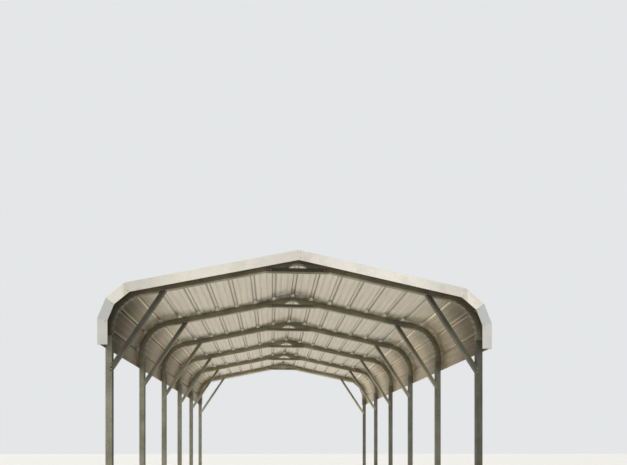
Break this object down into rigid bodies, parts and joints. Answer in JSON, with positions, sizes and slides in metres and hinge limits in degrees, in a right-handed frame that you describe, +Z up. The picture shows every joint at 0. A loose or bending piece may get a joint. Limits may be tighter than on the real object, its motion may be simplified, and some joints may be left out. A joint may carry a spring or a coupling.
{
  "type": "carport",
  "caption": "Tubular steel carport, open on all sides: bent bows on straight legs with knee and peak braces, under a ribbed sheet roof that wraps over rounded eaves.",
  "frame": {"origin": "on the ground, in the middle of the carport's overall length and width", "axes": "+Z up, +Y along the ridge from the front end to the back end, +X to the right as seen from the front"},
  "size_m": [3.7068, 7.9276, 3.5327],
  "materials": {
    "galvanised_tube": "dull weathered galvanised square tube",
    "galvanised_channel": "dull weathered galvanised channel",
    "roof_sheet": "off-white painted ribbed sheet, a little dusty",
    "edge_trim": "white painted sheet with streaks of dirt"
  },
  "bodies": {
    "root": {"back_trim_left": "edge_trim", "back_trim_right": "edge_trim", "base_rail_left": "galvanised_tube", "base_rail_right": "galvanised_tube", "bow_1": "galvanised_tube", "bow_2": "galvanised_tube", "bow_3": "galvanised_tube", "bow_4": "galvanised_tube", "bow_5": "galvanised_tube", "bow_6": "galvanised_tube", "front_trim_left": "edge_trim", "front_trim_right": "edge_trim", "knee_brace_left_1": "galvanised_channel", "knee_brace_left_2": "galvanised_channel", "knee_brace_left_3": "galvanised_channel", "knee_brace_left_4": "galvanised_channel", "knee_brace_left_5": "galvanised_channel", "knee_brace_left_6": "galvanised_channel", "knee_brace_right_1": "galvanised_channel", "knee_brace_right_2": "galvanised_channel", "knee_brace_right_3": "galvanised_channel", "knee_brace_right_4": "galvanised_channel", "knee_brace_right_5": "galvanised_channel", "knee_brace_right_6": "galvanised_channel", "leg_left_1": "galvanised_tube", "leg_left_2": "galvanised_tube", "leg_left_3": "galvanised_tube", "leg_left_4": "galvanised_tube", "leg_left_5": "galvanised_tube", "leg_left_6": "galvanised_tube", "leg_right_1": "galvanised_tube", "leg_right_2": "galvanised_tube", "leg_right_3": "galvanised_tube", "leg_right_4": "galvanised_tube", "leg_right_5": "galvanised_tube", "leg_right_6": "galvanised_tube", "peak_brace_1": "galvanised_channel", "peak_brace_2": "galvanised_channel", "peak_brace_3": "galvanised_channel", "peak_brace_4": "galvanised_channel", "peak_brace_5": "galvanised_channel", "peak_brace_6": "galvanised_channel", "roof_sheet_ridge": "roof_sheet", "roof_sheet_side_left": "roof_sheet", "roof_sheet_side_right": "roof_sheet", "roof_sheet_slope_left": "roof_sheet", "roof_sheet_slope_right": "roof_sheet"}
  },
  "joints": []
}
